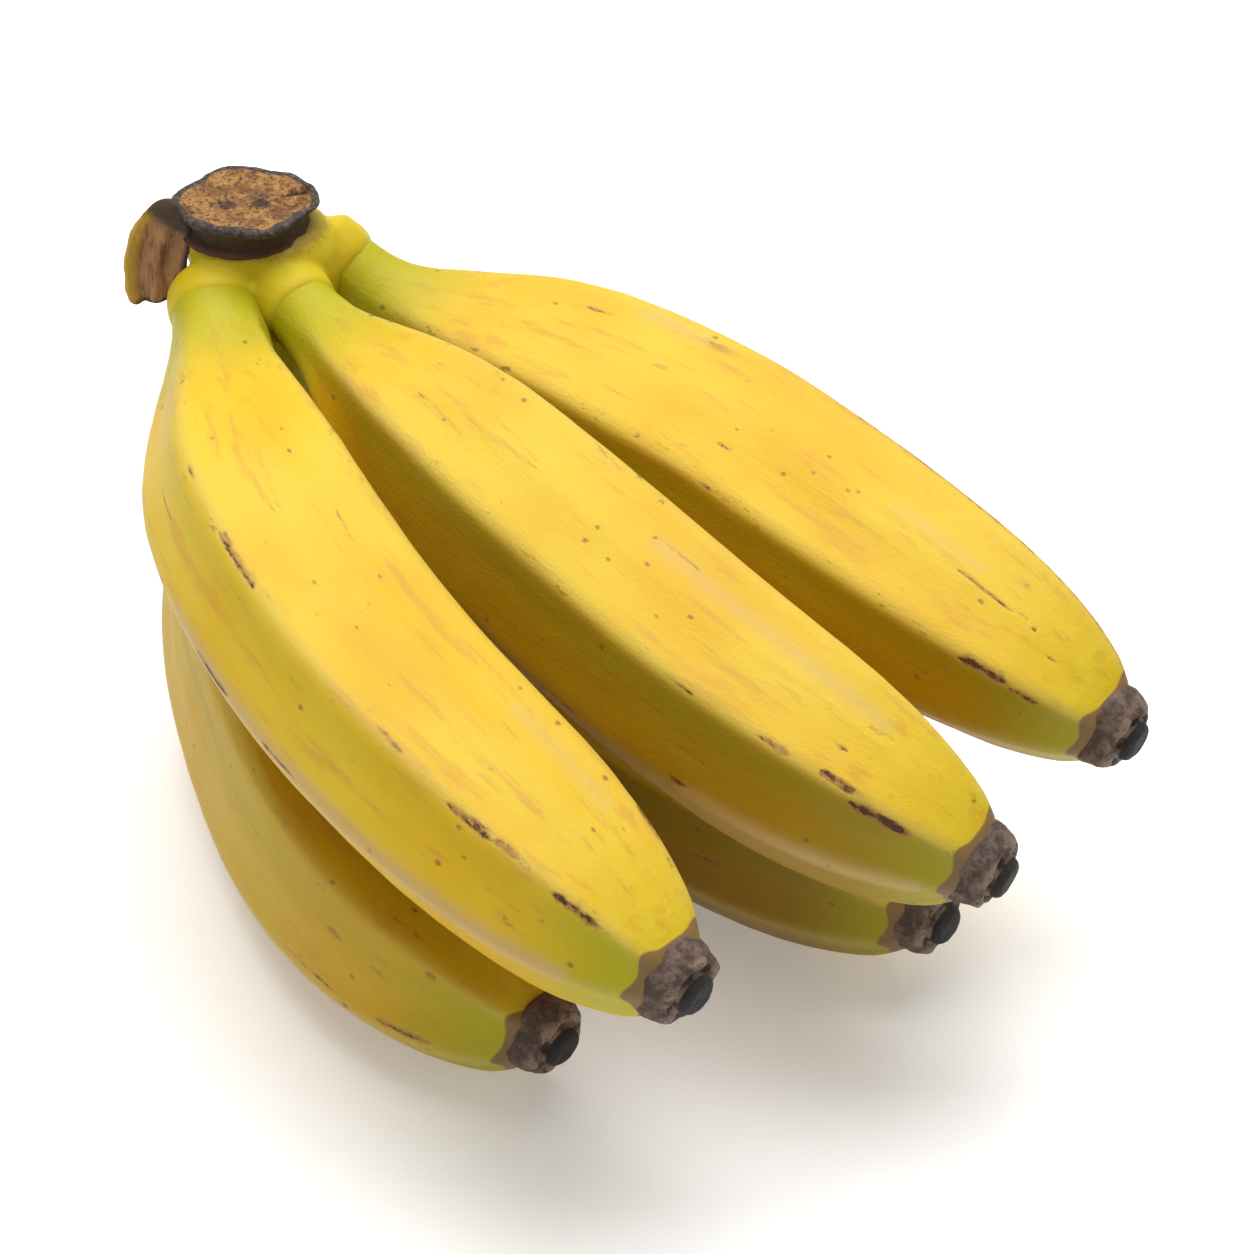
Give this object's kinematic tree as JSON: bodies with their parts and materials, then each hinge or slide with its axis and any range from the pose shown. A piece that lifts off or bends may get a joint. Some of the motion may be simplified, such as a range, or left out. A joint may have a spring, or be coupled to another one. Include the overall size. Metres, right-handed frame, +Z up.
{
  "type": "bunch of bananas",
  "caption": "Cut bunch of plump, angular yellow bananas on one brown crown, lying on its lower row with the dried flower ends pointing forwards.",
  "frame": {"origin": "bottom centre of the bunch's bounding box, on the plane it rests on", "axes": "+X from the crown to the flower ends, along the bananas; +Z up; +Y towards the right-hand banana of the upper row as seen from the crown's opposite end looking back"},
  "size_m": [0.1692, 0.112, 0.0836],
  "materials": {
    "crown": "fibrous brown cut face over yellow skin",
    "skin": "satin yellow peel, greener towards the ends",
    "flower_end": "matt grey-brown cork with a black knob"
  },
  "bodies": {
    "root": {"crown": "crown", "finger_upper_left": "skin", "finger_upper_middle": "skin", "finger_upper_right": "skin", "finger_lower_left": "skin", "finger_lower_right": "skin", "flower_end_upper_left": "flower_end", "flower_end_upper_middle": "flower_end", "flower_end_upper_right": "flower_end", "flower_end_lower_left": "flower_end", "flower_end_lower_right": "flower_end"}
  },
  "joints": []
}
